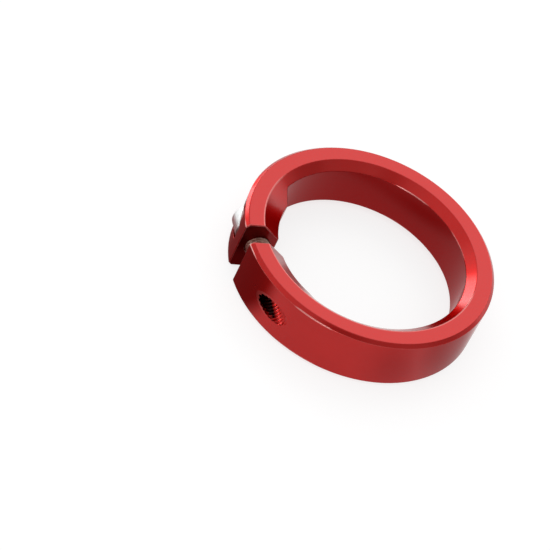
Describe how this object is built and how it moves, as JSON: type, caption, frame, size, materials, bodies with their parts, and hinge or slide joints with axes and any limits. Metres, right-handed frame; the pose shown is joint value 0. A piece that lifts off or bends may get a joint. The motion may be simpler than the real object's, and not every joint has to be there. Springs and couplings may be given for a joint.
{
  "type": "grip lock ring",
  "caption": "Split aluminium clamping ring for a handlebar grip, with conical mouths, inward lugs beside the split and a socket head screw across it.",
  "frame": {"origin": "the ring's axis on the face that it lies on", "axes": "+Z along the ring's axis, -X towards the split, +Y towards the screw's head"},
  "size_m": [0.0319, 0.032, 0.0073],
  "materials": {
    "ring_anodised": "satin red anodised",
    "screw_steel": "bright plated"
  },
  "bodies": {
    "ring": {"clamp_ring": "ring_anodised"},
    "screw": {"clamp_screw": "screw_steel"}
  },
  "joints": [
    {"name": "screw_turn", "type": "hinge", "parent": "ring", "child": "screw", "pos_m": [-0.01335, 0.0032, 0.00365], "axis": [0, 1, 0], "range_deg": [0, 2430]}
  ]
}
